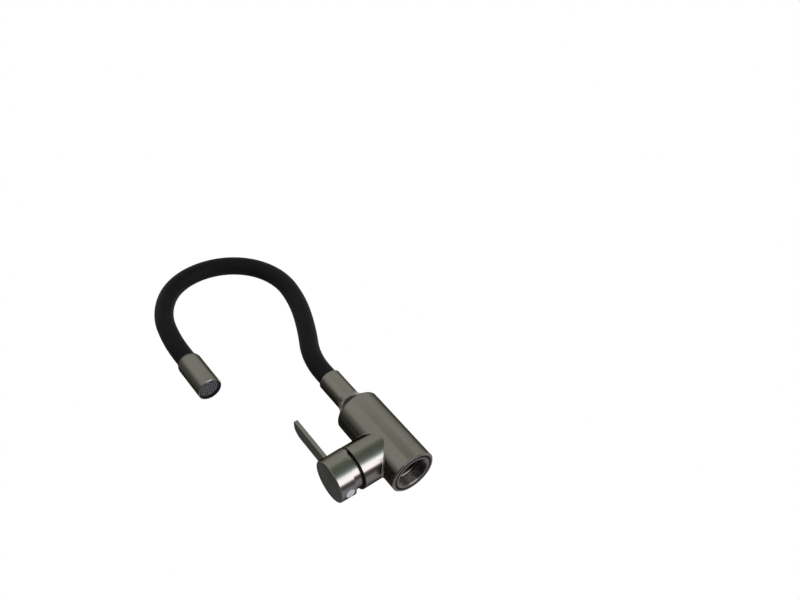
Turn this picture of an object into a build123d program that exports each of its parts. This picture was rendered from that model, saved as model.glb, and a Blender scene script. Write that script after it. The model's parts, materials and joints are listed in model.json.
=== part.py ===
from build123d import *
from math import cos, hypot, radians, sin, sqrt, tan
import os

# Flexible spout kitchen mixer, standing on its deck. Sizes are in millimetres.
# Z runs up the barrel from the deck. The cartridge housing and the handle face -Y,
# and the spout curves over them in the plane X = 0.

# Clearances: a running fit turns or slides, a fixed fit stays put, a loose fit never touches
running_fit = 0.08
fixed_fit = 0.1
loose_fit = 0.3

# Barrel and neck
barrel_radius = 24.0
barrel_chamfer = 1.0
shoulder_height = 90.5
shoulder_round = 2.5
shoulder_slope = 45.0
neck_radius = 12.5
neck_cove = 16.0
neck_top = 143.0
neck_chamfer = 1.2
branch_fillet = 1.6

# Deck side of the barrel
thread_radius = 17.0
thread_depth = 15.0
seal_inner_radius = 19.0
seal_outer_radius = 21.5
seal_depth = 3.0
inlet_spacing = 13.0
inlet_offset = 2.0
inlet_radius = 4.5
inlet_depth = 10.0

# Cartridge housing on the front of the barrel
housing_height = 38.0
housing_radius = 22.2
housing_reach = 43.0
housing_chamfer = 0.4
seat_depth = 26.0
port_radius = 2.6
port_rise = 1.5
outlet_drop = 6.0
riser_radius = 3.0

# Cartridge
cartridge_radius = 17.5
cartridge_lift = 0.2
cartridge_base_height = 3.8
port_seal_radius = 4.6
port_seal_height = 2.0
disc_radius = 13.3
disc_height = 3.5
slider_radius = 10.3
slider_offset = 2.4
pocket_wall = 1.1
pocket_drop = 1.8
carrier_floor = 1.7
carrier_play = 0.5
collar_flange_radius = 13.2
collar_flange_height = 1.8
collar_radius = 11.5
collar_rise = 8.5
shell_shoulder_depth = 4.5
shell_shoulder_height = 1.5
shell_neck_radius = 13.8
shell_neck_rise = 7.0
nut_thread_radius = 17.9
nut_ring_radius = 19.0
nut_ring_rise = 10.8
nut_ring_chamfer = 1.0
nut_mouth_radius = 15.6
nut_mouth_depth = 3.3
gasket_height = 1.0

# Handle
pivot_rise = 4.0
pin_radius = 1.5
pin_length = 21.0
lift_angle = 20.0
stem_width = 8.0
stem_play = 0.15
stem_root_length = 5.0
stem_tip_depth = 4.3
stem_ball_radius = 3.0
stem_arm_radius = 2.4
cap_gap = 1.7
cap_length = 25.1
cap_start_radius = 22.4
cap_end_radius = 21.9
cap_bore = 20.2
cap_end_wall = 3.0
cap_edge_round = 1.0
relief_rise = 7.0
relief_slant = 23.3
relief_depth = 8.9
relief_round = 40.0
boss_radius = 10.5
boss_height = 10.3
screw_depth = 9.5
screw_radius = 2.5
screw_length = 6.0
screw_hex = 2.5
screw_hex_depth = 2.5
plug_radius = 4.9
plug_height = 2.4
plug_round = 0.8
blade_depth = 11.9
blade_thickness = 4.2
blade_width = 17.6
blade_top = 112.0
blade_tip_width = 7.6
blade_curve_length = 11.0
blade_corner_round = 2.0
blade_round = 0.5
stud_radius = 1.9
stud_end_gap = 1.5
stud_nut_flats = 7.0
stud_nut_height = 3.2
stud_nut_gap = 0.7

# Flexible spout: a straight stub, equal arcs between the hinge centres and a straight stub
first_stub = 12.0
last_stub = 14.0
link_pitch = 45.25
link_turns = (26.6, -7.2, -13.9, -31.9, -34.0, -35.5, -42.9, -30.2, -12.0)
sleeve_radius = 10.4
sleeve_bore = 9.1
sleeve_overlap = 5.0
water_radius = 4.0
water_bore = 2.75
link_radius = 7.6
link_bore = 4.4
ball_radius = 7.0
ball_flat = 4.6
ball_flare = 4.9
ball_neck_radius = 5.2
ball_neck_length = 7.0
ball_neck_root = 3.0
cup_radius = 8.5
cup_lip = 3.0
cup_length = 5.5

# Tail of the spout in the neck
neck_bore = 10.75
neck_bore_depth = 30.5
glide_height = 1.0
glide_bore = 5.0
tail_waterway = 3.0
tail_floor = 3.5
tube_grip = 13.0
insert_bore = 2.1
insert_length = 12.0
o_ring_thickness = 1.86
o_ring_groove = 2.3
o_ring_depths = (25.0, 18.5)
snap_depth = 11.0
snap_thickness = 1.2
snap_outer_radius = 11.4
snap_inner_radius = 9.9
snap_gap = 4.0

# Nozzle
nozzle_radius = 13.0
nozzle_length = 48.0
nozzle_bore = 12.0
nozzle_shoulder = 5.5
nozzle_collar_gap = 0.5
nozzle_lip_radius = 11.3
nozzle_rim_chamfer = 0.5
adaptor_floor = 4.0
adaptor_chamber_radius = 9.0
aerator_recess = 1.2
aerator_height = 14.0
aerator_wall = 1.9
aerator_seal_height = 1.5
aerator_seal_bore = 8.5
mesh_recess = 1.0
mesh_height = 1.0
mesh_hole_radius = 1.1
mesh_hole_pitch = 2.9
straightener_offset = 2.0
straightener_height = 5.0
straightener_hub = 2.0
straightener_ribs = 6
straightener_rib = 0.9

on_base = (Align.CENTER, Align.CENTER, Align.MIN)
os.makedirs("parts", exist_ok=True)


def save(part, name):
    part.label = name
    export_step(part, f"parts/{name}.step")


def reach_plane(reach):
    """Plane square to the housing axis, this far out from the barrel axis."""
    return Plane(origin=(0, -reach, housing_height), x_dir=(1, 0, 0), z_dir=(0, -1, 0))


def below_plane(reach, drop):
    """Plane facing down, this far under the housing axis."""
    return Plane(origin=(0, -reach, housing_height - drop), x_dir=(1, 0, 0), z_dir=(0, 0, -1))


def turn_section(plane, axis, points):
    """Solid turned round an axis from the corners of its section."""
    with BuildSketch(plane) as section:
        with BuildLine():
            Polyline(*points, close=True)
        make_face()
    revolve(section.sketch, axis=axis)


def add_ring(plane, outer_radius, inner_radius, height, mode=Mode.ADD):
    with BuildSketch(plane) as ring:
        Circle(outer_radius)
        Circle(inner_radius, mode=Mode.SUBTRACT)
    extrude(ring.sketch, amount=height, mode=mode)


def cut_pin_hole(radius):
    """Hole along X for the pivot pin of the stem."""
    with BuildSketch(Plane.YZ) as hole:
        with Locations((-pivot_reach, housing_height)):
            Circle(radius)
    extrude(hole.sketch, amount=collar_flange_radius, both=True, mode=Mode.SUBTRACT)


# Sections turned round the housing axis are drawn with x running outwards and y running up.
housing_plane = Plane(origin=(0, 0, housing_height), x_dir=(0, -1, 0), z_dir=(-1, 0, 0))
housing_axis = Axis((0, 0, housing_height), (0, -1, 0))

# Where the pieces of the cartridge start, from its seat outwards
seat_reach = housing_reach - seat_depth
base_reach = seat_reach + cartridge_lift
disc_reach = base_reach + cartridge_base_height
slider_reach = disc_reach + disc_height
carrier_reach = slider_reach + disc_height
ball_reach = carrier_reach + carrier_floor + loose_fit + stem_ball_radius
# The rest of the cartridge is placed from the rim of the housing.
shell_shoulder_reach = housing_reach - shell_shoulder_depth
shell_end_reach = housing_reach + shell_neck_rise
nut_end_reach = housing_reach + nut_ring_rise
collar_reach = shell_shoulder_reach - shell_shoulder_height - loose_fit - collar_flange_height
collar_end_reach = housing_reach + collar_rise
pivot_reach = housing_reach + pivot_rise
shell_bore = disc_radius + loose_fit
shell_neck_bore = collar_radius + loose_fit
inlet_ports = [(-inlet_spacing / 2, port_rise), (inlet_spacing / 2, port_rise)]
outlet_port = (0, -outlet_drop)
ports = inlet_ports + [outlet_port]

# Slot of the collar: its upper end clears the ball of the lifted stem, its lower end the stem itself
lift = radians(lift_angle)
slot_top = (pivot_reach - ball_reach) * sin(lift) + stem_ball_radius + loose_fit
slot_bottom = -(
    (collar_end_reach - pivot_reach) * tan(lift) + stem_width / 2 / cos(lift) + loose_fit
)

# Places of the handle, from its open side out to its face
cap_start_reach = housing_reach + cap_gap
relief_drop = relief_depth / tan(radians(relief_slant))
cap_end_reach = cap_start_reach + cap_length
cap_floor_reach = cap_end_reach - cap_end_wall
boss_reach = cap_floor_reach - boss_height
stem_tip_reach = cap_end_reach - stem_tip_depth
screw_reach = cap_end_reach - screw_depth
blade_reach = cap_end_reach - blade_depth
stud_reach = blade_reach + blade_thickness / 2
stud_end_height = housing_height + boss_radius + stud_end_gap

# Places of the seals and of the snap ring in the neck
o_ring_heights = [neck_top - depth for depth in o_ring_depths]
snap_height = neck_top - snap_depth

# Centreline of the spout
spout_arcs = []
with BuildLine(Plane.YZ) as spout_line:
    low_stub = Line((0, neck_top), (0, neck_top + first_stub))
    last_edge = low_stub
    for turn in link_turns:
        last_edge = JernArc(last_edge @ 1, last_edge % 1, link_pitch / radians(abs(turn)), -turn)
        spout_arcs.append(last_edge)

hinge_points = [low_stub @ 1] + [arc @ 1 for arc in spout_arcs]
hinge_directions = [low_stub % 1] + [arc % 1 for arc in spout_arcs]
nozzle_direction = hinge_directions[-1]
nozzle_top = hinge_points[-1] + nozzle_direction * last_stub
nozzle_axis = Axis(nozzle_top, nozzle_direction)

# Sections turned round the nozzle axis are drawn with y running down the nozzle from its top.
nozzle_section = Plane(
    origin=nozzle_top, x_dir=(1, 0, 0), z_dir=(0, -nozzle_direction.Z, nozzle_direction.Y)
)


def square_plane(point, direction):
    """Plane square to the spout at a point of its centreline."""
    return Plane(origin=point, x_dir=(1, 0, 0), z_dir=direction)


def hinge_plane(hinge):
    return square_plane(hinge_points[hinge], hinge_directions[hinge])


def nozzle_plane(depth):
    """Plane square to the nozzle, this far down from its top."""
    return square_plane(nozzle_top + nozzle_direction * depth, nozzle_direction)


def spout_path(start_height, end_depth):
    """Centreline from a height in the neck to a depth in the nozzle."""
    with BuildLine() as path:
        Line((0, 0, start_height), hinge_points[0])
        add(spout_arcs)
        Line(hinge_points[-1], nozzle_top + nozzle_direction * end_depth)
    return path.wire()


def sweep_tube(path, outer_radius, inner_radius):
    with BuildSketch(square_plane(path @ 0, path % 0)) as section:
        Circle(outer_radius)
        Circle(inner_radius, mode=Mode.SUBTRACT)
    sweep(section.sketch, path=path)


def sweep_rod(path, radius, mode=Mode.ADD):
    with BuildSketch(square_plane(path @ 0, path % 0)) as section:
        Circle(radius)
    sweep(section.sketch, path=path, mode=mode)


def add_ball(plane):
    """Ball end of a link on its neck, cut flat and flared for the water tube."""
    with Locations(plane.offset(-ball_neck_length - ball_neck_root)):
        Cylinder(ball_neck_radius, ball_neck_length + ball_neck_root, align=on_base)
    with Locations(plane):
        Sphere(ball_radius)
    with Locations(plane.offset(ball_flat)):
        Cylinder(ball_radius, ball_radius, align=on_base, mode=Mode.SUBTRACT)
    with Locations(plane):
        Cone(link_bore, ball_flare, ball_flat, align=on_base, mode=Mode.SUBTRACT)


def add_cup(plane):
    """Outside of the cup that snaps over the ball below, with a lip past its equator."""
    with Locations(plane.offset(-cup_lip)):
        Cylinder(cup_radius, cup_lip + cup_length, align=on_base)


def hollow_cup(plane):
    with Locations(plane):
        Sphere(ball_radius + loose_fit, mode=Mode.SUBTRACT)


# Barrel, neck and cartridge housing, one casting
slope = radians(shoulder_slope)
corner_radius = barrel_radius - shoulder_round
cove_foot = neck_radius + neck_cove * (1 - cos(slope))
cove_foot_height = (
    shoulder_height
    + shoulder_round * sin(slope)
    + (corner_radius + shoulder_round * cos(slope) - cove_foot) / tan(slope)
)
cove_top_height = cove_foot_height + neck_cove * sin(slope)
with BuildPart() as mixer_body:
    with BuildSketch(Plane.XZ):
        with BuildLine():
            Polyline(
                (0, neck_top),
                (0, 0),
                (barrel_radius - barrel_chamfer, 0),
                (barrel_radius, barrel_chamfer),
                (barrel_radius, shoulder_height),
            )
            CenterArc((corner_radius, shoulder_height), shoulder_round, 0, shoulder_slope)
            Line(
                (corner_radius + shoulder_round * cos(slope), shoulder_height + shoulder_round * sin(slope)),
                (cove_foot, cove_foot_height),
            )
            CenterArc(
                (neck_radius + neck_cove, cove_top_height), neck_cove, 180 + shoulder_slope, -shoulder_slope
            )
            Polyline(
                (neck_radius, cove_top_height),
                (neck_radius, neck_top - neck_chamfer),
                (neck_radius - neck_chamfer, neck_top),
                (0, neck_top),
            )
        make_face()
    revolve(axis=Axis.Z)
    with Locations(reach_plane(0)):
        Cylinder(housing_radius, housing_reach, align=on_base)
    chamfer(mixer_body.edges().sort_by(Axis.Y)[0], housing_chamfer)
    # The barrel and the housing meet in the only edges that are neither lines nor circles.
    junction = mixer_body.edges().filter_by(lambda e: e.geom_type not in (GeomType.LINE, GeomType.CIRCLE))
    fillet(junction, branch_fillet)
    # Thread for the mounting shank, groove for the deck seal and the two hose inlets
    with Locations((0, 0, 0)):
        Cylinder(thread_radius, thread_depth, align=on_base, mode=Mode.SUBTRACT)
    add_ring(Plane.XY, seal_outer_radius, seal_inner_radius, seal_depth, Mode.SUBTRACT)
    with Locations(Plane(origin=(0, inlet_offset, thread_depth), x_dir=(1, 0, 0), z_dir=(0, 0, -1))):
        with GridLocations(inlet_spacing, 1, 2, 1):
            CounterBoreHole(
                port_radius, inlet_radius, inlet_depth, housing_height + port_rise - thread_depth
            )
    # Cartridge bore with its thread, and the ports in its seat
    with Locations(reach_plane(housing_reach)):
        CounterBoreHole(
            cartridge_radius + fixed_fit,
            nut_thread_radius + fixed_fit,
            housing_reach - shell_shoulder_reach,
            housing_reach - seat_reach,
        )
    with Locations(reach_plane(seat_reach)):
        with Locations(*inlet_ports):
            Hole(port_radius, seat_reach + inlet_offset)
        with Locations(outlet_port):
            Hole(port_radius, seat_reach)
    # Riser from the outlet port, and the bore that the tail of the spout turns in
    with Locations((0, 0, neck_top)):
        CounterBoreHole(riser_radius, neck_bore, neck_bore_depth, neck_top - housing_height + outlet_drop)
    add_ring(
        Plane.XY.offset(snap_height),
        snap_outer_radius + fixed_fit,
        riser_radius,
        snap_thickness + fixed_fit,
        Mode.SUBTRACT,
    )
save(mixer_body.part, "mixer_body")

with BuildPart() as base_seal:
    add_ring(Plane.XY, seal_outer_radius - fixed_fit, seal_inner_radius + fixed_fit, seal_depth)
save(base_seal.part, "base_seal")

# Cartridge
with BuildPart() as cartridge_base:
    with BuildSketch(reach_plane(base_reach)):
        Circle(cartridge_radius)
        with Locations(*ports):
            Circle(port_radius, mode=Mode.SUBTRACT)
    extrude(amount=cartridge_base_height)
    with BuildSketch(reach_plane(base_reach)):
        with Locations(*ports):
            Circle(port_seal_radius + fixed_fit)
    extrude(amount=port_seal_height, mode=Mode.SUBTRACT)
save(cartridge_base.part, "cartridge_base")

with BuildPart() as cartridge_port_seals:
    with BuildSketch(reach_plane(seat_reach)):
        with Locations(*ports):
            Circle(port_seal_radius)
            Circle(port_radius, mode=Mode.SUBTRACT)
    extrude(amount=cartridge_lift + port_seal_height)
save(cartridge_port_seals.part, "cartridge_port_seals")

with BuildPart() as fixed_disc:
    with BuildSketch(reach_plane(disc_reach)):
        Circle(disc_radius)
        with Locations(*ports):
            Circle(port_radius, mode=Mode.SUBTRACT)
    extrude(amount=disc_height)
save(fixed_disc.part, "fixed_ceramic_disc")

with BuildPart() as moving_disc:
    with BuildSketch(reach_plane(slider_reach)):
        with Locations((0, -slider_offset)):
            Circle(slider_radius)
    extrude(amount=disc_height)
    # The mixing pocket always opens on the outlet port, and on the inlet ports once the disc is up.
    with BuildSketch(reach_plane(slider_reach)):
        with Locations((0, -slider_offset)):
            Circle(slider_radius - pocket_wall)
        with Locations((0, -pocket_drop)):
            Rectangle(
                2 * slider_radius, 2 * slider_radius, align=(Align.CENTER, Align.MIN), mode=Mode.SUBTRACT
            )
    extrude(amount=disc_height / 2, mode=Mode.SUBTRACT)
save(moving_disc.part, "moving_ceramic_disc")

carrier_height = collar_reach - loose_fit - carrier_reach
with BuildPart() as disc_carrier:
    with BuildSketch(reach_plane(carrier_reach)):
        with Locations((0, -slider_offset)):
            Circle(slider_radius)
    extrude(amount=carrier_height)
    with BuildSketch(reach_plane(carrier_reach + carrier_floor)):
        Rectangle(2 * (stem_ball_radius + fixed_fit), 2 * (stem_ball_radius + carrier_play))
    extrude(amount=carrier_height, mode=Mode.SUBTRACT)
save(disc_carrier.part, "disc_carrier")

with BuildPart() as cartridge_shell:
    turn_section(
        housing_plane,
        housing_axis,
        [
            (disc_reach, shell_bore),
            (disc_reach, cartridge_radius),
            (shell_shoulder_reach, cartridge_radius),
            (shell_shoulder_reach, shell_neck_radius),
            (shell_end_reach, shell_neck_radius),
            (shell_end_reach, shell_neck_bore),
            (shell_shoulder_reach - shell_shoulder_height, shell_neck_bore),
            (shell_shoulder_reach - shell_shoulder_height, shell_bore),
        ],
    )
save(cartridge_shell.part, "cartridge_shell")

with BuildPart() as cartridge_nut:
    turn_section(
        housing_plane,
        housing_axis,
        [
            (shell_shoulder_reach, shell_neck_radius + loose_fit),
            (shell_shoulder_reach, nut_thread_radius),
            (housing_reach, nut_thread_radius),
            (housing_reach, nut_ring_radius),
            (nut_end_reach - nut_ring_chamfer, nut_ring_radius),
            (nut_end_reach, nut_ring_radius - nut_ring_chamfer),
            (nut_end_reach, nut_mouth_radius),
            (nut_end_reach - nut_mouth_depth, nut_mouth_radius),
            (nut_end_reach - nut_mouth_depth, shell_neck_radius + loose_fit),
        ],
    )
save(cartridge_nut.part, "cartridge_nut")

with BuildPart() as housing_gasket:
    add_ring(
        reach_plane(housing_reach), housing_radius - fixed_fit, nut_ring_radius + fixed_fit, gasket_height
    )
save(housing_gasket.part, "housing_gasket")

with BuildPart() as stem_collar:
    with Locations(reach_plane(collar_reach)):
        Cylinder(collar_flange_radius, collar_flange_height, align=on_base)
        Cylinder(collar_radius, collar_end_reach - collar_reach, align=on_base)
    with BuildSketch(reach_plane(collar_reach)):
        with Locations((0, (slot_top + slot_bottom) / 2)):
            Rectangle(stem_width + 2 * stem_play, slot_top - slot_bottom)
    extrude(amount=collar_end_reach - collar_reach, mode=Mode.SUBTRACT)
    cut_pin_hole(pin_radius)
save(stem_collar.part, "stem_collar")

with BuildPart() as stem_pin:
    with BuildSketch(Plane.YZ):
        with Locations((-pivot_reach, housing_height)):
            Circle(pin_radius)
    extrude(amount=pin_length / 2, both=True)
save(stem_pin.part, "stem_pin")

stem_root_reach = pivot_reach - stem_root_length
with BuildPart() as cartridge_stem:
    with BuildSketch(reach_plane(stem_root_reach)):
        Rectangle(stem_width, stem_width)
    extrude(amount=stem_tip_reach - stem_root_reach)
    with Locations(reach_plane(ball_reach)):
        Cylinder(stem_arm_radius, stem_root_reach - ball_reach, align=on_base)
        Sphere(stem_ball_radius)
    cut_pin_hole(pin_radius + running_fit)
save(cartridge_stem.part, "cartridge_stem")

# Handle
with BuildPart() as handle_cap:
    with Locations(reach_plane(cap_start_reach)):
        Cone(cap_start_radius, cap_end_radius, cap_length, align=on_base)
    fillet(handle_cap.edges().filter_by(GeomType.CIRCLE).sort_by(Axis.Y)[0], cap_edge_round)
    with Locations(reach_plane(cap_start_reach)):
        Cylinder(cap_bore, cap_floor_reach - cap_start_reach, align=on_base, mode=Mode.SUBTRACT)
    # The lower half of the skirt is cut back on a slant so that it clears the housing when the
    # handle is lifted.
    with BuildSketch(housing_plane) as relief:
        with BuildLine():
            FilletPolyline(
                (cap_start_reach, relief_rise),
                (cap_start_reach + relief_depth, relief_rise - relief_drop),
                (cap_start_reach + relief_depth, -2 * cap_start_radius),
                radius=relief_round,
            )
            Polyline(
                (cap_start_reach + relief_depth, -2 * cap_start_radius),
                (cap_start_reach, -2 * cap_start_radius),
                (cap_start_reach, relief_rise),
            )
        make_face()
    extrude(relief.sketch, amount=cap_start_radius, both=True, mode=Mode.SUBTRACT)
    with Locations(reach_plane(boss_reach)):
        Cylinder(boss_radius, boss_height, align=on_base)
    with BuildSketch(reach_plane(boss_reach)):
        Rectangle(stem_width + 2 * fixed_fit, stem_width + 2 * fixed_fit)
    extrude(amount=stem_tip_reach + fixed_fit - boss_reach, mode=Mode.SUBTRACT)
    # Screw hole reached through the plug hole under the cap, and the hole for the stud of the blade
    with Locations(below_plane(screw_reach, cap_start_radius)):
        CounterBoreHole(
            screw_radius + fixed_fit,
            plug_radius + fixed_fit,
            cap_start_radius - cap_bore + plug_height,
            cap_start_radius - stem_width / 2,
        )
    with Locations((0, -stud_reach, housing_height + cap_start_radius)):
        Hole(stud_radius + fixed_fit, cap_start_radius - boss_radius)
save(handle_cap.part, "handle_cap")

with BuildPart() as grub_screw:
    with Locations(below_plane(screw_reach, stem_width / 2)):
        Cylinder(screw_radius, screw_length, align=on_base)
    with BuildSketch(below_plane(screw_reach, stem_width / 2 + screw_length)):
        RegularPolygon(screw_hex / 2, 6, major_radius=False)
    extrude(amount=-screw_hex_depth, mode=Mode.SUBTRACT)
save(grub_screw.part, "grub_screw")

with BuildPart() as index_plug:
    with Locations(below_plane(screw_reach, cap_bore - loose_fit)):
        Cylinder(plug_radius, plug_height, align=on_base)
    fillet(index_plug.edges().sort_by(Axis.Z)[0], plug_round)
save(index_plug.part, "index_plug")

# The tip of the blade is cut away in a long curve on the side that faces -X.
curve_width = blade_width - blade_tip_width
curve_foot = blade_top - blade_curve_length
blade_root = housing_height + sqrt(cap_bore**2 - (blade_width / 2) ** 2)
with BuildPart() as lever_blade:
    with BuildSketch(Plane.XZ.offset(blade_reach)):
        with BuildLine():
            Polyline(
                (-blade_width / 2, curve_foot),
                (-blade_width / 2, blade_root),
                (blade_width / 2, blade_root),
                (blade_width / 2, blade_top),
                (blade_width / 2 - blade_tip_width, blade_top),
            )
            EllipticalCenterArc(
                (curve_width - blade_width / 2, curve_foot),
                curve_width,
                blade_curve_length,
                start_angle=90,
                arc_size=90,
            )
        make_face()
        fillet(vertices().group_by(Axis.Y)[-1].sort_by(Axis.X)[-1], blade_corner_round)
    extrude(amount=blade_thickness)
    fillet(lever_blade.edges().filter_by(lambda e: e.center().Z > blade_root), blade_round)
    with Locations(reach_plane(cap_start_reach)):
        Cone(
            cap_start_radius + running_fit,
            cap_end_radius + running_fit,
            cap_length,
            align=on_base,
            mode=Mode.SUBTRACT,
        )
    with Locations((0, -stud_reach, stud_end_height)):
        Cylinder(stud_radius, housing_height + cap_start_radius - stud_end_height, align=on_base)
save(lever_blade.part, "lever_blade")

with BuildPart() as lever_nut:
    with BuildSketch(Plane.XY.offset(housing_height + cap_bore - stud_nut_gap)):
        with Locations((0, -stud_reach)):
            RegularPolygon(stud_nut_flats / 2, 6, major_radius=False)
            Circle(stud_radius, mode=Mode.SUBTRACT)
    extrude(amount=-stud_nut_height)
save(lever_nut.part, "lever_nut")

# Tail of the spout with its seals
tail_radius = neck_bore - running_fit
tail_bottom = neck_top - neck_bore_depth + glide_height
tail_shoulder = neck_top - sleeve_overlap
spigot_radius = sleeve_bore - fixed_fit
tube_socket = water_radius + fixed_fit
tube_bottom = tail_bottom + tail_floor
o_ring_middle = tail_radius - o_ring_thickness / 2
with BuildPart() as spout_tail:
    with Locations((0, 0, tail_bottom)):
        Cylinder(tail_radius, tail_shoulder - tail_bottom, align=on_base)
        Cylinder(spigot_radius, neck_top - tail_bottom, align=on_base)
        Cylinder(link_radius, neck_top + first_stub - ball_neck_length - tail_bottom, align=on_base)
    add_ball(hinge_plane(0))
    for height in o_ring_heights:
        add_ring(
            Plane.XY.offset(height),
            neck_bore,
            tail_radius - o_ring_thickness - running_fit,
            o_ring_groove,
            Mode.SUBTRACT,
        )
    add_ring(
        Plane.XY.offset(snap_height - loose_fit),
        neck_bore,
        snap_inner_radius - fixed_fit,
        snap_thickness + 2 * loose_fit,
        Mode.SUBTRACT,
    )
    with Locations((0, 0, tail_bottom)):
        Cylinder(tail_waterway, tail_floor, align=on_base, mode=Mode.SUBTRACT)
    with Locations((0, 0, tube_bottom)):
        Cylinder(tube_socket, tube_grip, align=on_base, mode=Mode.SUBTRACT)
    with Locations((0, 0, tube_bottom + tube_grip)):
        Cylinder(
            link_bore, neck_top + first_stub - tube_bottom - tube_grip, align=on_base, mode=Mode.SUBTRACT
        )
save(spout_tail.part, "spout_tail")

with BuildPart() as spout_o_rings:
    for height in o_ring_heights:
        with Locations((0, 0, height + o_ring_groove / 2)):
            Torus(o_ring_middle, o_ring_thickness / 2)
save(spout_o_rings.part, "spout_o_rings")

with BuildPart() as glide_ring:
    add_ring(Plane.XY.offset(tail_bottom - glide_height), tail_radius, glide_bore, glide_height)
save(glide_ring.part, "glide_ring")

with BuildPart() as neck_snap_ring:
    with BuildSketch(Plane.XY.offset(snap_height + fixed_fit / 2)):
        Circle(snap_outer_radius)
        Circle(snap_inner_radius, mode=Mode.SUBTRACT)
        Rectangle(snap_gap, snap_outer_radius, align=(Align.CENTER, Align.MIN), mode=Mode.SUBTRACT)
    extrude(amount=snap_thickness)
save(neck_snap_ring.part, "neck_snap_ring")

# Soft sleeve and water tube, each one long piece over the whole spout
with BuildPart() as spout_sleeve:
    sweep_tube(spout_path(tail_shoulder, sleeve_overlap), sleeve_radius, sleeve_bore)
save(spout_sleeve.part, "spout_sleeve")

with BuildPart() as water_tube:
    sweep_tube(spout_path(tube_bottom, tube_grip), water_radius, water_bore)
save(water_tube.part, "water_tube")

with BuildPart() as lower_tube_insert:
    add_ring(Plane.XY.offset(tube_bottom), water_bore - running_fit, insert_bore, insert_length)
save(lower_tube_insert.part, "lower_tube_insert")

# Ball and cup links of the gooseneck
for number, arc in enumerate(spout_arcs):
    with BuildPart() as link:
        add_cup(hinge_plane(number))
        sweep_rod(arc.trim(0, 1 - ball_neck_length / link_pitch), link_radius)
        add_ball(hinge_plane(number + 1))
        sweep_rod(arc, link_bore, Mode.SUBTRACT)
        hollow_cup(hinge_plane(number))
    save(link.part, f"gooseneck_link_{number + 1}")

# Nozzle, from its top down to the mouth
nozzle_collar = sleeve_overlap + nozzle_collar_gap
adaptor_radius = nozzle_bore - fixed_fit
aerator_end = nozzle_length - aerator_recess
aerator_start = aerator_end - aerator_height
adaptor_end = aerator_start - aerator_seal_height
chamber_start = tube_grip + adaptor_floor
aerator_bore = adaptor_radius - aerator_wall
with BuildPart() as nozzle_adaptor:
    add_cup(hinge_plane(-1))
    with Locations(hinge_plane(-1)):
        Cylinder(link_radius, last_stub, align=on_base)
    with Locations(nozzle_plane(0)):
        Cylinder(spigot_radius, nozzle_collar, align=on_base)
    with Locations(nozzle_plane(nozzle_collar)):
        Cylinder(adaptor_radius, adaptor_end - nozzle_collar, align=on_base)
    with Locations(hinge_plane(-1)):
        Cylinder(link_bore, last_stub, align=on_base, mode=Mode.SUBTRACT)
    with Locations(nozzle_plane(0)):
        Cylinder(tube_socket, tube_grip, align=on_base, mode=Mode.SUBTRACT)
        Cylinder(tail_waterway, chamber_start, align=on_base, mode=Mode.SUBTRACT)
    with Locations(nozzle_plane(chamber_start)):
        Cylinder(
            adaptor_chamber_radius, adaptor_end - chamber_start, align=on_base, mode=Mode.SUBTRACT
        )
    hollow_cup(hinge_plane(-1))
save(nozzle_adaptor.part, "nozzle_adaptor")

with BuildPart() as upper_tube_insert:
    add_ring(
        nozzle_plane(tube_grip - insert_length), water_bore - running_fit, insert_bore, insert_length
    )
save(upper_tube_insert.part, "upper_tube_insert")

with BuildPart() as nozzle_shell:
    with BuildSketch(nozzle_section):
        with BuildLine():
            TangentArc((nozzle_radius, nozzle_shoulder), (nozzle_lip_radius, 0), tangent=(0, -1))
            Polyline(
                (nozzle_lip_radius, 0),
                (sleeve_radius + loose_fit, 0),
                (sleeve_radius + loose_fit, nozzle_collar),
                (nozzle_bore, nozzle_collar),
                (nozzle_bore, nozzle_length),
                (nozzle_radius - nozzle_rim_chamfer, nozzle_length),
                (nozzle_radius, nozzle_length - nozzle_rim_chamfer),
                (nozzle_radius, nozzle_shoulder),
            )
        make_face()
    revolve(axis=nozzle_axis)
save(nozzle_shell.part, "nozzle_shell")

with BuildPart() as aerator_seal:
    add_ring(nozzle_plane(adaptor_end), adaptor_radius, aerator_seal_bore, aerator_seal_height)
save(aerator_seal.part, "aerator_seal")

with BuildPart() as aerator_housing:
    add_ring(nozzle_plane(aerator_start), adaptor_radius, aerator_bore, aerator_height)
save(aerator_housing.part, "aerator_housing")

with BuildPart() as flow_straightener:
    with BuildSketch(nozzle_plane(aerator_start + straightener_offset)):
        Circle(aerator_bore - fixed_fit)
        Circle(aerator_bore - straightener_rib, mode=Mode.SUBTRACT)
        with PolarLocations(0, straightener_ribs):
            Rectangle(
                aerator_bore - straightener_rib / 2, straightener_rib, align=(Align.MIN, Align.CENTER)
            )
        Circle(straightener_hub)
    extrude(amount=straightener_height)
save(flow_straightener.part, "flow_straightener")

mesh_radius = aerator_bore - fixed_fit
mesh_reach = int(mesh_radius / mesh_hole_pitch) + 1
mesh_rows = [
    ((column + row % 2 / 2) * mesh_hole_pitch, row * mesh_hole_pitch * sqrt(3) / 2)
    for row in range(-mesh_reach, mesh_reach + 1)
    for column in range(-mesh_reach, mesh_reach + 1)
]
mesh_holes = [hole for hole in mesh_rows if hypot(*hole) < mesh_radius - mesh_hole_pitch / 2]
with BuildPart() as aerator_mesh:
    with BuildSketch(nozzle_plane(aerator_end - mesh_recess - mesh_height)):
        Circle(mesh_radius)
        with Locations(*mesh_holes):
            RegularPolygon(mesh_hole_radius, 6, mode=Mode.SUBTRACT)
    extrude(amount=mesh_height)
save(aerator_mesh.part, "aerator_mesh")
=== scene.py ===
# Flexible spout kitchen mixer: finishes, spout sleeve, threads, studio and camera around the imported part.
# Everything is in metres. Z runs up the barrel from the deck, and the handle faces -Y.
import json
from math import atan2, ceil, cos, pi, radians, sin, tau

import bpy
from mathutils import Matrix, Vector


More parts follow.
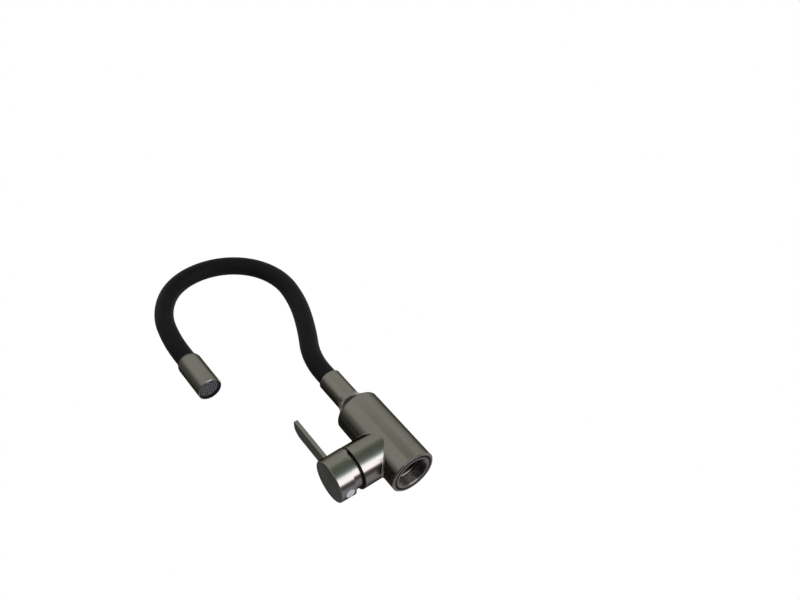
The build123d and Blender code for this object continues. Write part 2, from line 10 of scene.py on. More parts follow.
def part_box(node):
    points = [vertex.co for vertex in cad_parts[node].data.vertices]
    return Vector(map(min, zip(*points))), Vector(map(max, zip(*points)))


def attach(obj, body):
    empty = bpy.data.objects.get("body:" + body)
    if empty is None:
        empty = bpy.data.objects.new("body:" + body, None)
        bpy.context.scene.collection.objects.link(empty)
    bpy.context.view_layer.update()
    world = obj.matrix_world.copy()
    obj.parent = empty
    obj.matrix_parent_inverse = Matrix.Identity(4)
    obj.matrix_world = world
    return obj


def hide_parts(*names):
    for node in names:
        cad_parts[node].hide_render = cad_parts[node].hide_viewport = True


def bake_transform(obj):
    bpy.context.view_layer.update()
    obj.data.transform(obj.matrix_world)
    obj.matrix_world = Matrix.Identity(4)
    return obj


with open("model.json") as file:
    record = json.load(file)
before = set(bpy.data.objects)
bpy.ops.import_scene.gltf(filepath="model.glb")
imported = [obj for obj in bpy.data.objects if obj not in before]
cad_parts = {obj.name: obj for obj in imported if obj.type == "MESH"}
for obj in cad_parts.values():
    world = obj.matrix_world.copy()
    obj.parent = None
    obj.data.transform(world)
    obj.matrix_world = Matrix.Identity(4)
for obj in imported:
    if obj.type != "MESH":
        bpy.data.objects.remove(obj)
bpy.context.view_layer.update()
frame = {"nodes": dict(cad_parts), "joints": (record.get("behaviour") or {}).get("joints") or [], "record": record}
nodes = frame["nodes"]
mm = 0.001
jointTo = {joint["child"]: joint for joint in frame["joints"]}
housingHeight = jointTo["stem_rotor"]["pos_m"][2]
print("frame loaded with", len(nodes), "nodes")

# Camera at the photograph's viewing angle, from below the deck side of the barrel
photoCamera = {
    "place": (0.65376, -0.29067, -0.33834),
    "turn": (135.056, 37.008, 88.262),
    "lens": 37.01,
    "sensorWidth": 36.0,
    "clipStart": 10 * mm,
}


def addCamera():
    data = bpy.data.cameras.new("photoCamera")
    data.lens = photoCamera["lens"]
    data.sensor_width = photoCamera["sensorWidth"]
    data.clip_start = photoCamera["clipStart"]
    camera = bpy.data.objects.new("photoCamera", data)
    camera.location = photoCamera["place"]
    camera.rotation_euler = [radians(turn) for turn in photoCamera["turn"]]
    bpy.context.scene.collection.objects.link(camera)
    bpy.context.scene.camera = camera


addCamera()
print("camera placed")


# Node helpers for the materials: a socket takes a value or a link from another node
def setSocket(tree, socket, value):
    if isinstance(value, bpy.types.NodeSocket):
        tree.links.new(value, socket)
    else:
        socket.default_value = value


def addNode(tree, kind, sockets=None, **settings):
    node = tree.nodes.new("ShaderNode" + kind)
    for name, value in settings.items():
        setattr(node, name, value)
    for socket, value in (sockets or {}).items():
        setSocket(tree, node.inputs[socket], value)
    return node


def calc(tree, operation, *values):
    return addNode(tree, "Math", dict(enumerate(values)), operation=operation).outputs[0]


def vectorCalc(tree, operation, *values):
    node = addNode(tree, "VectorMath", operation=operation)
    for index, value in enumerate(values):
        name = "Scale" if operation == "SCALE" and index == 1 else index
        setSocket(tree, node.inputs[name], value)
    return node.outputs["Value" if operation in ("LENGTH", "DOT_PRODUCT") else "Vector"]


def spread(tree, value, low, high, fromLow=0.3, fromHigh=0.7):
    sockets = {"Value": value, "From Min": fromLow, "From Max": fromHigh, "To Min": low, "To Max": high}
    return addNode(tree, "MapRange", sockets).outputs["Result"]


# The colour sockets of a Mix node are numbered 6 and 7, and its vector sockets 4 and 5
def blendColours(tree, amount, first, second, blendType="MIX"):
    sockets = {0: amount, 6: first, 7: second}
    return addNode(tree, "Mix", sockets, data_type="RGBA", blend_type=blendType).outputs[2]


def blendVectors(tree, amount, first, second):
    return addNode(tree, "Mix", {0: amount, 4: first, 5: second}, data_type="VECTOR").outputs[1]


def shade(colour, factor=1.0):
    return [channel * factor for channel in colour] + [1.0]


plainWhite = shade((1, 1, 1))


def newMaterial(name):
    material = bpy.data.materials.new(name)
    material.use_nodes = True
    tree = material.node_tree
    tree.nodes.clear()
    surface = addNode(tree, "BsdfPrincipled")
    output = addNode(tree, "OutputMaterial", {"Surface": surface.outputs[0]})
    return material, tree, surface, output


# Turned and brushed metal: the grain runs round each turning axis
barrelAxis = {"centre": (0, 0, 0), "axis": (0, 0, 1)}
housingAxis = {"centre": (0, 0, housingHeight), "axis": (0, 1, 0)}
gunmetal = {
    "colour": (0.172, 0.168, 0.143),
    "tone": (0.93, 1.07),
    "edgeTint": (0.20, 0.19, 0.19),
    # The lighter tint paints a highlight on the cap's flat end and the casting's lip, and brightens the whole
    # blade
    "lighterTint": (0.55, 0.54, 0.54),
    # The cove's tint is a painted highlight in the cove at the neck's foot
    "coveHighlightTint": (0.72, 0.70, 0.70),
    "roughness": (0.20, 0.25),
    "grainPerMetre": 1500.0,
    "alongPerMetre": 55.0,
    "faceGrain": 1.7,
    "grainDetail": 4.0,
    "grainRoughness": 0.62,
    "anisotropy": 0.55,
    "anisotropyTurn": 0.25,
    "bump": 0.035,
    "bumpHeight": 0.02 * mm,
    "cloudPerMetre": 26.0,
    "cloudDetail": 2.0,
    "clouding": (0.95, 1.05),
    # The mouth's colour is machined metal darkened with painted shade of the bore
    "machined": (0.15, 0.145, 0.13),
}


# Grain vector and the direction round the axis, for metal turned on this axis
def turnedGrain(tree, place, turning, look):
    axis = turning["axis"]
    local = vectorCalc(tree, "SUBTRACT", place, turning["centre"])
    along = vectorCalc(tree, "DOT_PRODUCT", local, axis)
    across = vectorCalc(tree, "SUBTRACT", local, vectorCalc(tree, "SCALE", axis, along))
    radius = vectorCalc(tree, "LENGTH", across)
    height = calc(tree, "MULTIPLY_ADD", radius, look["faceGrain"], along)
    fine = vectorCalc(tree, "SCALE", axis, calc(tree, "MULTIPLY", height, look["grainPerMetre"]))
    coarse = vectorCalc(tree, "SCALE", across, look["alongPerMetre"])
    return vectorCalc(tree, "ADD", fine, coarse), vectorCalc(tree, "CROSS_PRODUCT", axis, across), radius


# Streaks along the grain and soft clouds give the tone. The streaks also give the roughness and the bump.
def finishBrushed(tree, surface, look, place, grain, around, colour, tint):
    fineness = {"Detail": look["grainDetail"], "Roughness": look["grainRoughness"]}
    streaks = addNode(tree, "TexNoise", {"Vector": grain, "Scale": 1.0, **fineness}).outputs["Fac"]
    cloudSockets = {"Vector": place, "Scale": look["cloudPerMetre"], "Detail": look["cloudDetail"]}
    clouds = addNode(tree, "TexNoise", cloudSockets).outputs["Fac"]
    streakTone, cloudTone = spread(tree, streaks, *look["tone"]), spread(tree, clouds, *look["clouding"])
    worldAround = addNode(
        tree, "VectorTransform", {0: around}, vector_type="VECTOR", convert_from="OBJECT", convert_to="WORLD"
    )
    bumpSockets = {"Strength": look["bump"], "Distance": look["bumpHeight"], "Height": streaks}
    tone = calc(tree, "MULTIPLY", streakTone, cloudTone)
    setSocket(tree, surface.inputs["Base Color"], blendColours(tree, 1.0, colour, tone, "MULTIPLY"))
    setSocket(tree, surface.inputs["Specular Tint"], tint)
    setSocket(tree, surface.inputs["Roughness"], spread(tree, streaks, *look["roughness"]))
    setSocket(tree, surface.inputs["Normal"], addNode(tree, "Bump", bumpSockets).outputs[0])
    setSocket(tree, surface.inputs["Tangent"], worldAround.outputs[0])
    surface.inputs["Metallic"].default_value = 1.0
    surface.inputs["Anisotropic"].default_value = look["anisotropy"]
    surface.inputs["Anisotropic Rotation"].default_value = look["anisotropyTurn"]


# A flat end, below this height along an axis, gets the lighter tint in place of the edge tint: a painted highlight
# that brightens its reflections at a shallow angle
def flatEndHighlightTint(tree, look, place, axis, endHeight):
    along = addNode(tree, "SeparateXYZ", {0: place}).outputs[axis]
    onEnd = calc(tree, "LESS_THAN", along, endHeight)
    return blendColours(tree, onEnd, shade(look["edgeTint"]), shade(look["lighterTint"]))


def brushedMaterial(name, look, turning, flatEnd=None):
    material, tree, surface, _ = newMaterial(name)
    place = addNode(tree, "TexCoord").outputs["Object"]
    grain, around, _ = turnedGrain(tree, place, turning, look)
    # The cap's flat face takes the lighter tint, a painted highlight
    tint = shade(look["edgeTint"]) if flatEnd is None else flatEndHighlightTint(tree, look, place, "Y", flatEnd)
    finishBrushed(tree, surface, look, place, grain, around, shade(look["colour"]), tint)
    return material


# The blade is brushed along its length
def bladeMaterial(name, look):
    material, tree, surface, _ = newMaterial(name)
    place = addNode(tree, "TexCoord").outputs["Object"]
    stretch = (look["grainPerMetre"], look["grainPerMetre"], look["alongPerMetre"])
    grain = vectorCalc(tree, "MULTIPLY", place, stretch)
    colour, tint = shade(look["colour"]), shade(look["lighterTint"])
    finishBrushed(tree, surface, look, place, grain, (0, 0, 1), colour, tint)
    return material


# The casting has two turned parts, and its bare machined thread and seat show from the deck side. Their colour is
# darker than the gunmetal: partly the machined metal, partly painted shade of the bore
casting = {
    "housingStart": 24.6 * mm, "machinedRadius": 19.05 * mm, "machinedTop": 16 * mm, "lipTop": 0.2 * mm,
    "coveRadius": 21.5 * mm, "coveBottom": 91 * mm, "coveFadeFrom": 104 * mm, "coveTop": 109 * mm,
}


# The cove at the foot of the neck gets a lighter specular tint, a painted highlight that fades into the neck
def coveHighlightMask(tree, radius, height):
    belowNeck = spread(tree, height, 1.0, 0.0, fromLow=casting["coveFadeFrom"], fromHigh=casting["coveTop"])
    inside = calc(tree, "LESS_THAN", radius, casting["coveRadius"])
    above = calc(tree, "GREATER_THAN", height, casting["coveBottom"])
    return calc(tree, "MULTIPLY", belowNeck, calc(tree, "MULTIPLY", inside, above))


def castingMaterial(name, look):
    material, tree, surface, _ = newMaterial(name)
    place = addNode(tree, "TexCoord").outputs["Object"]
    height = addNode(tree, "SeparateXYZ", {0: place}).outputs["Z"]
    barrelGrain, barrelAround, barrelRadius = turnedGrain(tree, place, barrelAxis, look)
    housingGrain, housingAround, _ = turnedGrain(tree, place, housingAxis, look)
    onHousing = calc(tree, "GREATER_THAN", barrelRadius, casting["housingStart"])
    grain = blendVectors(tree, onHousing, barrelGrain, housingGrain)
    around = blendVectors(tree, onHousing, barrelAround, housingAround)
    # Inside the mouth the colour darkens: machined metal with painted shade of the bore
    inMouth = calc(tree, "LESS_THAN", barrelRadius, casting["machinedRadius"])
    machined = calc(tree, "MULTIPLY", inMouth, calc(tree, "LESS_THAN", height, casting["machinedTop"]))
    colour = blendColours(tree, machined, shade(look["colour"]), shade(look["machined"]))
    # The lip takes the lighter tint, a painted highlight
    lipHighlightTint = flatEndHighlightTint(tree, look, place, "Z", casting["lipTop"])
    # The cove takes the lighter cove tint, a painted highlight
    tint = blendColours(tree, coveHighlightMask(tree, barrelRadius, height), lipHighlightTint, shade(look["coveHighlightTint"]))
    finishBrushed(tree, surface, look, place, grain, around, colour, tint)
    return material


# Plain finishes: rubber, plastic, ceramic and the small metal parts, with one fine grain and mottle for all
mottle = {"perMetre": 60.0, "detail": 2.0, "grainDetail": 3.0, "bumpHeight": 0.05 * mm}
finishes = {
    "black_silicone": {
        "colour": (0.0062, 0.0062, 0.0068), "tone": (0.85, 1.15), "roughness": (0.5, 0.66),
        "grainPerMetre": 900.0, "bump": 0.25, "specular": 0.06,
    },
    "black_rubber": {
        "colour": (0.0032, 0.0032, 0.0034), "tone": (0.8, 1.2), "roughness": (0.5, 0.65),
        "grainPerMetre": 1200.0, "bump": 0.2, "specular": 0.06,
    },
    "black_plastic": {
        "colour": (0.006, 0.006, 0.0065), "tone": (0.85, 1.15), "roughness": (0.4, 0.55),
        "grainPerMetre": 1600.0, "bump": 0.12, "specular": 0.15,
    },
    "white_plastic": {
        "colour": (0.53, 0.56, 0.58), "tone": (0.93, 1.04), "roughness": (0.32, 0.45),
        "grainPerMetre": 700.0, "bump": 0.08, "specular": 0.45,
    },
    "grey_mesh": {
        "colour": (0.115, 0.110, 0.124), "tone": (0.85, 1.15), "roughness": (0.4, 0.55),
        "grainPerMetre": 1500.0, "bump": 0.1, "specular": 0.15,
    },
    "tube_plastic": {
        "colour": (0.7, 0.73, 0.75), "tone": (0.95, 1.03), "roughness": (0.3, 0.42),
        "grainPerMetre": 500.0, "bump": 0.06, "specular": 0.5,
    },
    "white_ceramic": {
        "colour": (0.82, 0.81, 0.78), "tone": (0.97, 1.02), "roughness": (0.1, 0.18),
        "grainPerMetre": 2000.0, "bump": 0.03, "specular": 0.55,
    },
    "brass": {
        "colour": (0.62, 0.44, 0.2), "tone": (0.85, 1.1), "roughness": (0.22, 0.34),
        "grainPerMetre": 1400.0, "bump": 0.08, "specular": 0.5, "metallic": 1.0,
    },
    "bright_steel": {
        "colour": (0.52, 0.51, 0.49), "tone": (0.88, 1.08), "roughness": (0.24, 0.36),
        "grainPerMetre": 1500.0, "bump": 0.08, "specular": 0.5, "metallic": 1.0,
    },
    # The cut thread's colour is cut metal darkened far below bare steel with painted shade of the bore
    "cut_thread_shaded": {
        "colour": (0.085, 0.082, 0.072), "tone": (0.9, 1.08), "roughness": (0.2, 0.28),
        "grainPerMetre": 900.0, "bump": 0.02, "specular": 0.5, "metallic": 1.0,
    },
}


# Fine grain for the bump and the roughness, and a broad mottle for the tone
def plainMaterial(name, look):
    material, tree, surface, _ = newMaterial(name)
    place = addNode(tree, "TexCoord").outputs["Object"]
    fineSockets = {"Vector": place, "Scale": look["grainPerMetre"], "Detail": mottle["grainDetail"]}
    fine = addNode(tree, "TexNoise", fineSockets).outputs["Fac"]
    broadSockets = {"Vector": place, "Scale": mottle["perMetre"], "Detail": mottle["detail"]}
    broad = addNode(tree, "TexNoise", broadSockets).outputs["Fac"]
    dark, light = (shade(look["colour"], tone) for tone in look["tone"])
    colour = blendColours(tree, spread(tree, broad, 0.0, 1.0), dark, light)
    bumpSockets = {"Strength": look["bump"], "Distance": mottle["bumpHeight"], "Height": fine}
    setSocket(tree, surface.inputs["Base Color"], colour)
    setSocket(tree, surface.inputs["Roughness"], spread(tree, fine, *look["roughness"]))
    setSocket(tree, surface.inputs["Normal"], addNode(tree, "Bump", bumpSockets).outputs[0])
    surface.inputs["Metallic"].default_value = look.get("metallic", 0.0)
    surface.inputs["Specular IOR Level"].default_value = look["specular"]
    return material


capFaceDepth = 0.3 * mm  # the cap's face lies within this depth of its outermost point
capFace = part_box("handle_cap")[0].y + capFaceDepth
nozzleLow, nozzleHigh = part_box("nozzle_shell")
nozzleAxis = {"centre": tuple((nozzleLow + nozzleHigh) / 2), "axis": (0, 0, 1)}

# Every node takes its finish from its slot in the record, and the gunmetal pieces take their own grain
slotOf = {entry["node"]: entry["material_slot"] for entry in frame["record"]["subparts"]}
slotMaterials = {name: plainMaterial(name, look) for name, look in finishes.items()}
gunmetalMaterials = {
    "mixer_body": castingMaterial("gunmetal_casting", gunmetal),
    "handle_cap": brushedMaterial("gunmetal_cap", gunmetal, housingAxis, capFace),
    "cartridge_nut": brushedMaterial("gunmetal_nut", gunmetal, housingAxis),
    "nozzle_shell": brushedMaterial("gunmetal_nozzle", gunmetal, nozzleAxis),
    "lever_blade": bladeMaterial("gunmetal_blade", gunmetal),
}
for name, node in nodes.items():
    finish = gunmetalMaterials.get(name) or slotMaterials[slotOf[name]]
    for slot in node.material_slots:
        slot.material = finish
print("finishes given to", len(nodes), "nodes")


# A closed mesh from its points and faces, smooth but for the edges sharper than the limit
def addPiece(name, points, faces, slotName, sharpAngle=40.0, finish=None):
    mesh = bpy.data.meshes.new(name)
    mesh.from_pydata(points, [], faces)
    mesh.validate()
    mesh.shade_smooth()
    mesh.set_sharp_from_angle(angle=radians(sharpAngle))
    mesh.materials.append(slotMaterials[finish or slotName])
    piece = bpy.data.objects.new(name, mesh)
    bpy.context.scene.collection.objects.link(piece)
    return piece


# Soft sleeve and water tube along the whole spout: one piece for each hinge
spout = {
    "pieceBends": 12 * mm,
    "ringGap": 1.6 * mm,
    "sleevePastLastHinge": 19 * mm,
    "sleeveWall": 1.3 * mm,
    "sleeveSides": 72,
    "tubePastLastHinge": 27 * mm,
    "tubeWall": 1.25 * mm,
    "tubeSides": 28,
    "straightBelow": 1e-9,
}
spoutBodies = ["spout_tail"] + [f"link_{number}" for number in range(1, 10)] + ["nozzle"]
hinges = [Vector(jointTo[body]["pos_m"]) for body in spoutBodies[1:]]


# The centreline runs in tangent arcs from hinge to hinge. A heading of 0 points up, and turns towards +Y.
def spoutArcs():
    heading, travelled, arcs = 0.0, 0.0, []
    for first, second in zip(hinges, hinges[1:]):
        chord = second - first
        turn = 2 * ((atan2(chord.y, chord.z) - heading + pi) % tau - pi)
        length = chord.length * (turn / 2) / sin(turn / 2)
        arcs.append({"start": travelled, "from": first, "heading": heading, "turn": turn, "length": length})
        heading += turn
        travelled += length
    return arcs, heading, travelled


arcs, lastHeading, lastHinge = spoutArcs()


def headingVector(heading):
    return Vector((0.0, sin(heading), cos(heading)))


# Point and heading of the centreline at a distance from the first hinge
def centreAt(distance):
    if distance <= 0:
        return hinges[0] + headingVector(0.0) * distance, 0.0
    for arc in arcs:
        along = distance - arc["start"]
        if along < arc["length"]:
            half = arc["turn"] * along / arc["length"] / 2
            reach = along * sin(half) / half if abs(half) > spout["straightBelow"] else along
            return arc["from"] + headingVector(arc["heading"] + half) * reach, arc["heading"] + 2 * half
    return hinges[-1] + headingVector(lastHeading) * (distance - lastHinge), lastHeading


def tubePoints(start, end, radius, sides):
    steps = ceil((end - start) / spout["ringGap"])
    points = []
    for step in range(steps + 1):
        centre, heading = centreAt(start + (end - start) * step / steps)
        out = Vector((0.0, cos(heading), -sin(heading)))
        for side in range(sides):
            angle = tau * side / sides
            points.append(centre + radius * (cos(angle) * Vector((1, 0, 0)) + sin(angle) * out))
    return points, steps


def addTubePiece(name, start, end, radius, wall, sides, slotName):
    outer, steps = tubePoints(start, end, radius, sides)
    inner, _ = tubePoints(start, end, radius - wall, sides)
    inside = len(outer)
    faces = []
    for side in range(sides):
        following = (side + 1) % sides
        for step in range(steps):
            a, b = step * sides + side, step * sides + following
            c, d = b + sides, a + sides
            faces.append((a, d, c, b))
            faces.append((inside + a, inside + b, inside + c, inside + d))
        faces.append((side, following, inside + following, inside + side))
        top = steps * sides
        faces.append((top + side, inside + top + side, inside + top + following, top + following))
    return addPiece(name, outer + inner, faces, slotName)


def addSpoutTube(node, startHeight, pastLastHinge, wall, sides, slotName):
    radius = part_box(node)[1].x
    middles = [arc["start"] + arc["length"] / 2 for arc in arcs]
    cuts = [startHeight - hinges[0].z] + middles + [lastHinge + pastLastHinge]
    for number, (start, end) in enumerate(zip(cuts, cuts[1:])):
        piece = addTubePiece(f"{node}_{number + 1}", start, end, radius, wall, sides, slotName)
        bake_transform(piece)
        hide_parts(node)


addSpoutTube(
    "spout_sleeve",
    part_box("spout_sleeve")[0].z,
    spout["sleevePastLastHinge"],
    spout["sleeveWall"],
    spout["sleeveSides"],
    "black_silicone",
)
addSpoutTube(
    "water_tube",
    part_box("water_tube")[0].z,
    spout["tubePastLastHinge"],
    spout["tubeWall"],
    spout["tubeSides"],
    "tube_plastic",
)
print("sleeve and water tube laid over", len(hinges), "hinges")


# Internal threads: one closed ridge of triangular section wound up the bore
shankThread = {
    "depth": 0.8 * mm, "pitch": 1.5 * mm, "from": 1.7 * mm, "to": 11.0 * mm, "stepsPerTurn": 72,
    "slope": 0.8 * mm, "leadIn": 0.1 * mm, "runOut": 11.9 * mm, "ringSides": 96,
}
inletThread = {"depth": 0.55 * mm, "pitch": 1.0 * mm, "from": 0.7 * mm, "to": 8.6 * mm, "stepsPerTurn": 36}
threadRoot = 0.05 * mm  # the ridge is rooted this deep in the wall of its bore
threadFoot = 0.44  # half the width of the ridge's foot, as a share of the pitch
threadFade = {"startDepth": 0.15, "turns": 0.25}  # the ridge rises and dies away over a quarter turn


# Triangles side by side along a winding, each joined to the next
def sectionFaces(steps, count):
    faces = []
    for step in range(steps):
        here, following = step * 3, (step + 1) % count * 3
        for corner in range(3):
            beside = (corner + 1) % 3
            faces.append((here + corner, here + beside, following + beside, following + corner))
    return faces


# The cut pieces take the cut thread's dark colour, partly painted shade of the bore
def addCutPiece(name, points, faces):
    piece = addPiece(name, points, faces, "gunmetal_steel", sharpAngle=30.0, finish="cut_thread_shaded")
    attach(piece, "mixer_body")


def addThread(name, centre, radius, look):
    low, high = look["from"], look["to"]
    turns = (high - low) / look["pitch"]
    steps = ceil(turns * look["stepsPerTurn"])
    half = look["pitch"] * threadFoot
    points = []
    for step in range(steps + 1):
        angle = tau * turns * step / steps
        height = low + (high - low) * step / steps
        turnsFromEnd = min(step, steps - step) / look["stepsPerTurn"]
        fade = min(1.0, threadFade["startDepth"] + turnsFromEnd / threadFade["turns"])
        across = Vector((cos(angle), sin(angle), 0.0))
        crest = radius - look["depth"] * fade
        for reach, rise in ((radius + threadRoot, -half), (crest, 0.0), (radius + threadRoot, half)):
            points.append(centre + across * reach + Vector((0.0, 0.0, height + rise)))
    last = steps * 3
    faces = sectionFaces(steps, steps + 1) + [(2, 1, 0), (last, last + 1, last + 2)]
    addCutPiece(name, points, faces)


# A ring of triangular section that slopes inwards and up, as the lead-in and the run-out of a thread
def addThreadEnd(name, centre, radius, look, low):
    section = (
        (radius + threadRoot, low),
        (radius - look["slope"], low + look["slope"]),
        (radius + threadRoot, low + look["slope"] + threadRoot),
    )
    points = []
    for side in range(look["ringSides"]):
        angle = tau * side / look["ringSides"]
        for reach, rise in section:
            points.append(centre + Vector((reach * cos(angle), reach * sin(angle), rise)))
    addCutPiece(name, points, sectionFaces(look["ringSides"], look["ringSides"]))


# The threads sit in the bores that the record names as mounts
mountOf = {mount["name"]: mount for mount in frame["record"]["mounts"]}


def boreOf(mountName):
    mount = mountOf[mountName]
    return Vector(mount["pos_m"]), mount["dims"]["r_mm"] * mm


base, baseRadius = boreOf("base_thread")
addThread("shank_thread", base, baseRadius, shankThread)
addThreadEnd("shank_lead_in", base, baseRadius, shankThread, shankThread["leadIn"])
addThreadEnd("shank_run_out", base, baseRadius, shankThread, shankThread["runOut"])
for side in ("hot", "cold"):
    mouth, inletRadius = boreOf(f"inlet_{side}")
    addThread(f"inlet_thread_{side}", mouth, inletRadius, inletThread)
print("threads cut")


# Studio: white all round, a floor that only the camera sees, soft lamps, and strips for the metal
studio = {"white": 1.0, "ambient": 0.62}
floor = {"size": 8.0, "drop": 0.3 * mm, "colour": (0.93, 0.93, 0.93), "clearFrom": 0.3, "whiteFrom": 0.75}
middle = (0.0, -30 * mm, 60 * mm)
lamps = {
    "lowLamp": {"place": (0.6, 0.35, -0.8), "aim": middle, "size": (0.8, 0.6), "level": 1.0},
    "topLamp": {"place": (0.25, -0.3, 1.35), "aim": middle, "size": (0.7, 0.7), "level": 2.4},
    "sideLamp": {"place": (1.3, 0.2, 0.5), "aim": middle, "size": (0.9, 0.9), "level": 0.6},
}
# Each strip is part of a drum, with its light given at stops round it.
# A stop is an angle in degrees, from the drum's first direction towards its second, and the light there.
uprightDrum = {"centre": (0, 0, 60 * mm), "directions": ((1, 0, 0), (0, 1, 0), (0, 0, 1)), "radius": 1.1}
stripSteps = 60
strips = {
    "housingStrip": {
        "centre": (0, -45 * mm, housingHeight),
        "directions": ((1, 0, 0), (0, 0, 1), (0, -1, 0)),
        "radius": 1.0,
        "span": (-0.8, 0.02),
        "stops": [
            (-206, (0.9, 0.9, 0.9)),
            (-196, (0.40, 0.40, 0.42)),
            (-160, (0.95, 0.86, 0.97)),
            (-140, (0.95, 0.88, 1.05)),
            (-108, (0.78, 0.80, 0.98)),
            (-101, (0.24, 0.20, 0.24)),
            (-80, (0.24, 0.18, 0.22)),
            (-76, (4.2, 3.8, 4.4)),
            (-71, (6.4, 5.9, 6.8)),
            (-46, (5.4, 5.6, 6.4)),
            (-36, (1.5, 1.6, 1.85)),
            (-25, (0.55, 0.62, 0.66)),
            (-13, (0.38, 0.44, 0.43)),
            (0, (0.31, 0.355, 0.325)),
            (14, (0.38, 0.42, 0.36)),
            (24, (0.66, 0.68, 0.60)),
            (33, (0.95, 0.94, 0.92)),
            (42, (1.0, 1.0, 1.0)),
        ],
    },
    "barrelStrip": {
        **uprightDrum,
        "span": (0.1, 0.92),
        "stops": [
            (-215, (1.0, 1.0, 1.0)),
            (-200, (0.2, 0.2, 0.2)),
            (-185, (0.06, 0.06, 0.06)),
            (-172, (0.32, 0.32, 0.34)),
            (-158, (0.32, 0.32, 0.34)),
            (-144, (0.05, 0.05, 0.05)),
            (-122, (0.04, 0.04, 0.04)),
            (-100, (0.10, 0.10, 0.10)),
            (-78, (0.30, 0.30, 0.29)),
            (-66, (0.6, 0.6, 0.6)),
            (-54, (1.0, 1.0, 1.0)),
        ],
    },
    "nozzleStrip": {
        **uprightDrum,
        "span": (0.92, 1.9),
        "stops": [
            (-215, (1.0, 1.0, 1.0)),
            (-198, (0.5, 0.5, 0.5)),
            (-180, (0.34, 0.35, 0.34)),
            (-100, (0.34, 0.35, 0.34)),
            (-72, (0.22, 0.20, 0.20)),
            (-62, (0.5, 0.45, 0.45)),
            (-48, (0.85, 0.8, 0.82)),
            (-30, (1.0, 1.0, 1.0)),
        ],
    },
    "lowStrip": {
        **uprightDrum,
        "span": (-2.6, -0.15),
        "stops": [
            (-158, (0.6, 0.6, 0.6)),
            (-140, (0.35, 0.33, 0.35)),
            (-115, (0.25, 0.23, 0.24)),
            (-85, (0.1, 0.1, 0.1)),
            (-30, (0.1, 0.1, 0.1)),
        ],
    },
}
baseCard = {"place": (26.5 * mm, 14.75 * mm, -8 * mm), "size": (9.5 * mm, 48.5 * mm), "level": 0.55}


def addWorld():
    world = bpy.data.worlds.new("whiteStudio")
    bpy.context.scene.world = world
    world.use_nodes = True
    tree = world.node_tree
    tree.nodes.clear()
    path = addNode(tree, "LightPath").outputs
    seen = calc(tree, "MAXIMUM", path["Is Camera Ray"], path["Is Glossy Ray"])
    seen = calc(tree, "MAXIMUM", seen, path["Is Transmission Ray"])
    white = addNode(tree, "Background", {"Color": plainWhite, "Strength": studio["white"]})
    ambient = addNode(tree, "Background", {"Color": plainWhite, "Strength": studio["ambient"]})
    mixed = addNode(tree, "MixShader", {0: seen, 1: ambient.outputs[0], 2: white.outputs[0]})
    addNode(tree, "OutputWorld", {"Surface": mixed.outputs[0]})


# The floor fades to plain white away from the object, and is clear from below
def floorMaterial():
    material, tree, surface, output = newMaterial("floorPaper")
    place = addNode(tree, "TexCoord").outputs["Object"]
    distance = vectorCalc(tree, "LENGTH", place)
    away = addNode(
        tree,
        "MapRange",
        {"Value": distance, "From Min": floor["clearFrom"], "From Max": floor["whiteFrom"]},
        interpolation_type="SMOOTHSTEP",
    )
    paper = addNode(tree, "BsdfDiffuse", {"Color": shade(floor["colour"])})
    white = addNode(tree, "Emission", {"Color": plainWhite, "Strength": 1.0})
    clear = addNode(tree, "BsdfTransparent")
    top = addNode(tree, "MixShader", {0: away.outputs[0], 1: paper.outputs[0], 2: white.outputs[0]})
    below = addNode(tree, "NewGeometry").outputs["Backfacing"]
    both = addNode(tree, "MixShader", {0: below, 1: top.outputs[0], 2: clear.outputs[0]})
    tree.nodes.remove(surface)
    setSocket(tree, output.inputs["Surface"], both.outputs[0])
    return material


def addSheet(name, width, height, material):
    x, y = width / 2, height / 2
    mesh = bpy.data.meshes.new(name)
    mesh.from_pydata([(-x, -y, 0), (x, -y, 0), (x, y, 0), (-x, y, 0)], [], [(0, 1, 2, 3)])
    mesh.materials.append(material)
    sheet = bpy.data.objects.new(name, mesh)
    bpy.context.scene.collection.objects.link(sheet)
    return sheet


def addFloor():
    sheet = addSheet("floor", floor["size"], floor["size"], floorMaterial())
    sheet.location.z = -floor["drop"]
    sheet.visible_diffuse = sheet.visible_glossy = sheet.visible_transmission = False
    sheet.visible_shadow = False


# Turned to face its aim, with its long side along Y as far as that allows
def turnTo(obj, place, aim):
    back = (Vector(place) - Vector(aim)).normalized()
    wide = (Vector((0, 1, 0)) - back * back.y).normalized()
    turned = Matrix((wide, back.cross(wide), back)).transposed()
    obj.matrix_world = Matrix.Translation(place) @ turned.to_4x4()


def addLamp(name, look):
    data = bpy.data.lights.new(name, "AREA")
    data.shape = "RECTANGLE"
    data.size, data.size_y = look["size"]
    data.energy = look["level"] * data.size * data.size_y * pi
    lamp = bpy.data.objects.new(name, data)
    bpy.context.scene.collection.objects.link(lamp)
    turnTo(lamp, look["place"], look["aim"])
    lamp.visible_camera = lamp.visible_glossy = False


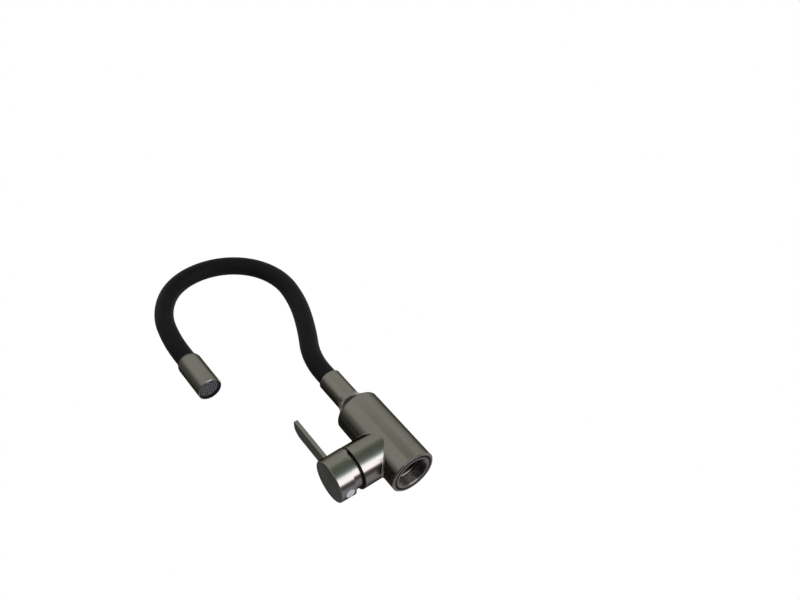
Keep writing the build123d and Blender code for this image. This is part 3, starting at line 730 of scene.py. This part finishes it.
# Light painted round the strip's axis, from stop to stop
def stripMaterial(name, look, low, high):
    material, tree, surface, output = newMaterial(name)
    tree.nodes.remove(surface)
    place = addNode(tree, "SeparateXYZ", {0: addNode(tree, "TexCoord").outputs["Object"]}).outputs
    angle = calc(tree, "ARCTAN2", place["Y"], place["X"])
    along = spread(tree, angle, 0.0, 1.0, fromLow=(low - high) / 2, fromHigh=(high - low) / 2)
    peak = max(max(light) for _, light in look["stops"])
    ramp = addNode(tree, "ValToRGB", {"Fac": along})
    elements = ramp.color_ramp.elements
    for number, (degrees, light) in enumerate(look["stops"]):
        at = (radians(degrees) - low) / (high - low)
        element = elements[number] if number < 2 else elements.new(at)
        element.position = at
        element.color = shade(light, 1 / peak)
    glow = addNode(tree, "Emission", {"Color": ramp.outputs["Color"], "Strength": peak})
    setSocket(tree, output.inputs["Surface"], glow.outputs[0])
    return material


# A small grey card under the barrel keeps the low light off the bevel of its mouth
def addBaseCard():
    material, tree, surface, output = newMaterial("baseCard")
    tree.nodes.remove(surface)
    glow = addNode(tree, "Emission", {"Color": plainWhite, "Strength": baseCard["level"]})
    setSocket(tree, output.inputs["Surface"], glow.outputs[0])
    card = addSheet("baseCard", *baseCard["size"], material)
    card.location = baseCard["place"]
    card.visible_camera = card.visible_diffuse = card.visible_transmission = card.visible_shadow = False


# A strip is part of a drum round the object, seen only in the metal's reflections
def addStrip(name, look):
    low, high = (radians(look["stops"][end][0]) for end in (0, -1))
    points, faces = [], []
    for step in range(stripSteps + 1):
        angle = (high - low) * (step / stripSteps - 0.5)
        for height in look["span"]:
            points.append((look["radius"] * cos(angle), look["radius"] * sin(angle), height))
    for corner in range(0, 2 * stripSteps, 2):
        faces.append((corner, corner + 2, corner + 3, corner + 1))
    mesh = bpy.data.meshes.new(name)
    mesh.from_pydata(points, [], faces)
    mesh.materials.append(stripMaterial(name, look, low, high))
    strip = bpy.data.objects.new(name, mesh)
    bpy.context.scene.collection.objects.link(strip)
    turned = Matrix(look["directions"]).transposed() @ Matrix.Rotation((low + high) / 2, 3, "Z")
    strip.matrix_world = Matrix.Translation(look["centre"]) @ turned.to_4x4()
    strip.visible_camera = strip.visible_diffuse = strip.visible_transmission = strip.visible_shadow = False


addWorld()
addFloor()
for name, look in lamps.items():
    addLamp(name, look)
for name, look in strips.items():
    addStrip(name, look)
addBaseCard()
bpy.context.scene.view_settings.view_transform = "Standard"
print("studio lit")
